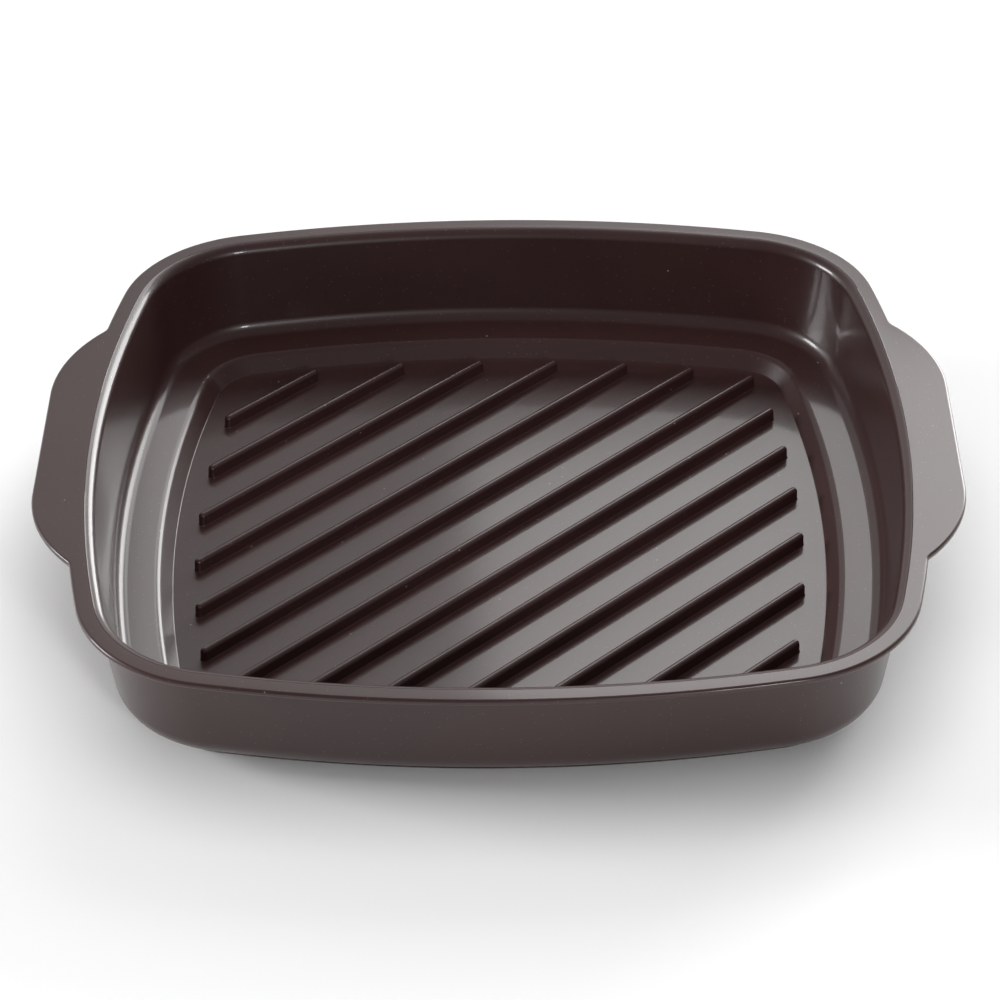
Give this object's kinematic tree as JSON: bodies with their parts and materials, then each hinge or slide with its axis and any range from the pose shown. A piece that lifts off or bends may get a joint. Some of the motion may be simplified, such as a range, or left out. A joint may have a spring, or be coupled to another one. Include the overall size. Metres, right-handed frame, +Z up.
{
  "type": "ribbed grill pan",
  "caption": "Square grill pan cast in one piece, with bowed sides, a flat flange that widens into two side grips, a ledge and slanting parallel ribs on the floor.",
  "frame": {"origin": "middle of the flat underside of the base, on the surface that the pan stands on", "axes": "+X through the two grips, from the left grip to the right one, +Y to the back, +Z up out of the pan's mouth"},
  "size_m": [0.3008, 0.28, 0.0435],
  "materials": {
    "coated_metal": "dark espresso-brown non-stick coating, glossy, with fine pale metallic specks, over cast aluminium"
  },
  "bodies": {
    "root": {"grill_pan": "coated_metal"}
  },
  "joints": []
}
